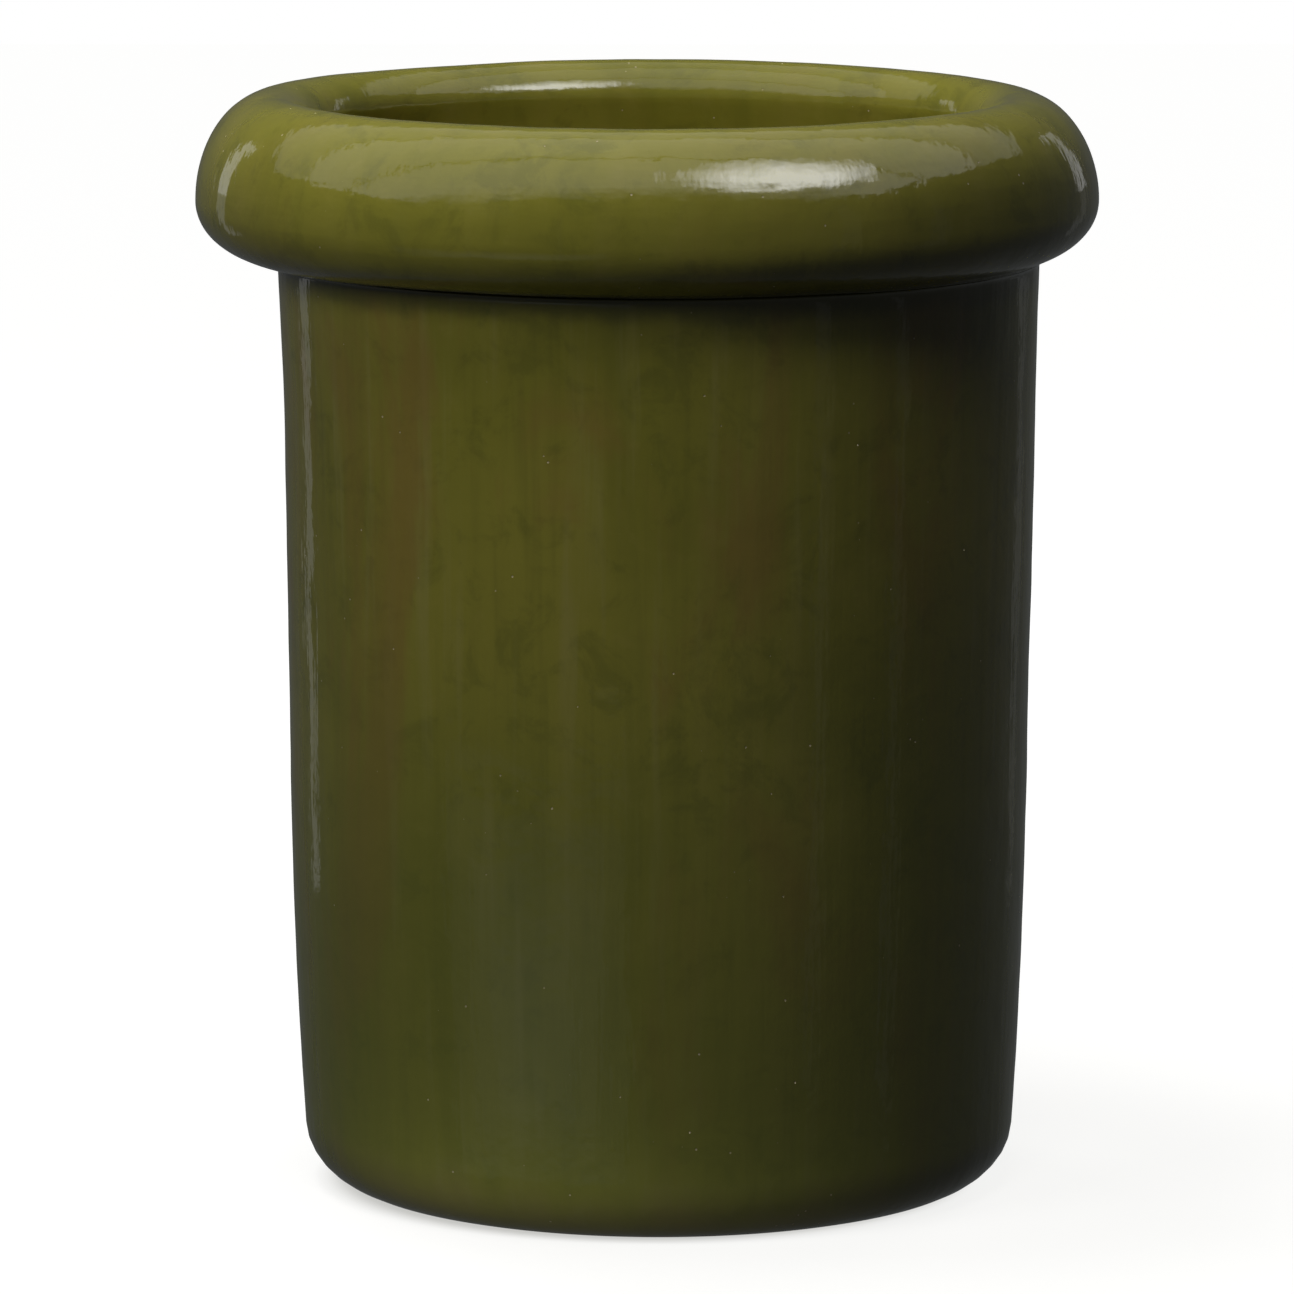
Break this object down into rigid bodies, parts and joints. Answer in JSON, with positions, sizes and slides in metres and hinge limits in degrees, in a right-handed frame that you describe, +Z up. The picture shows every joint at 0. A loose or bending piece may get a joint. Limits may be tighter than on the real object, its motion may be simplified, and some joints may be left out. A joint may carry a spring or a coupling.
{
  "type": "planter pot",
  "caption": "Tall round glazed terracotta floor pot with a fat hollow roll for a rim, a drain hole and a rubber plug.",
  "frame": {"origin": "on the ground under the centre of the roll, which is the centre of the bounding box's bottom", "axes": "+Z up along the pot, +X to the right and +Y to the back as seen from the front"},
  "size_m": [0.41, 0.41, 0.5],
  "materials": {
    "olive_glaze": "gloss",
    "bare_clay": "matte",
    "plug_rubber": "matte"
  },
  "bodies": {
    "pot": {"base_slab": "olive_glaze", "lower_wall": "olive_glaze", "upper_wall": "olive_glaze", "roll_lower": "olive_glaze", "roll_upper": "olive_glaze", "base_coil": "bare_clay", "seam_coil": "bare_clay", "neck_coil": "bare_clay"},
    "plug": {"drain_plug": "plug_rubber"}
  },
  "joints": [
    {"name": "plug_lift", "type": "slide", "parent": "pot", "child": "plug", "axis": [0, 0, 1], "range_m": [0, 0.52]}
  ]
}
